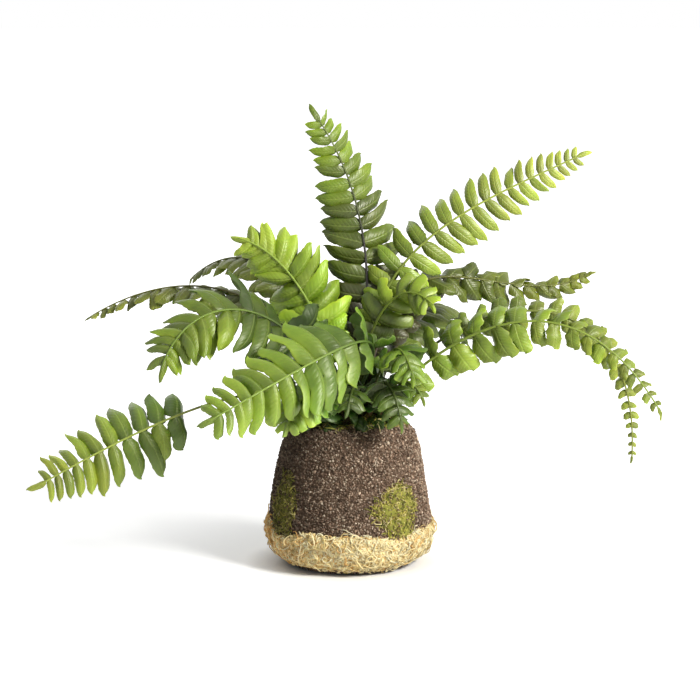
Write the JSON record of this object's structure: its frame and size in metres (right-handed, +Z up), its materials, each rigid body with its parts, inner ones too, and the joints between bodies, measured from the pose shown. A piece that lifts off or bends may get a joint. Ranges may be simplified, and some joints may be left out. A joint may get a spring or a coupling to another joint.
{
  "type": "potted boston fern",
  "caption": "Boston fern with arching fronds of paired leaflets, standing on its own rounded root ball with moss pads and a fibre wrap.",
  "frame": {"origin": "middle of the root ball's flat underside, on the surface that the fern stands on", "axes": "+Z up from the surface through the crown, -Y towards the side the fern is seen from, +X to the right from there"},
  "size_m": [0.3302, 0.26, 0.244],
  "materials": {
    "soil": "matte",
    "fibre": "matte",
    "moss": "matte",
    "stem_base": "matte",
    "leaf": "satin"
  },
  "bodies": {
    "root": {"root_ball": "soil", "fibre_wrap": "fibre", "moss_pad_front_right": "moss", "moss_pad_front_left": "moss", "moss_pad_back": "moss", "crown": "stem_base", "frond_upright": "leaf", "frond_upper_right": "leaf", "frond_mid_right": "leaf", "frond_arch_right": "leaf", "frond_droop_right": "leaf", "frond_upper_left": "leaf", "frond_curl_left": "leaf", "frond_long_left": "leaf", "frond_front_left": "leaf", "frond_front_short": "leaf", "frond_front_right": "leaf", "frond_low_right": "leaf", "frond_front_mid": "leaf", "frond_side_right": "leaf", "frond_inner_right": "leaf", "frond_back_right": "leaf", "frond_back_left": "leaf", "frond_back": "leaf", "frond_back_far_right": "leaf", "frond_far_left": "leaf"}
  },
  "joints": []
}
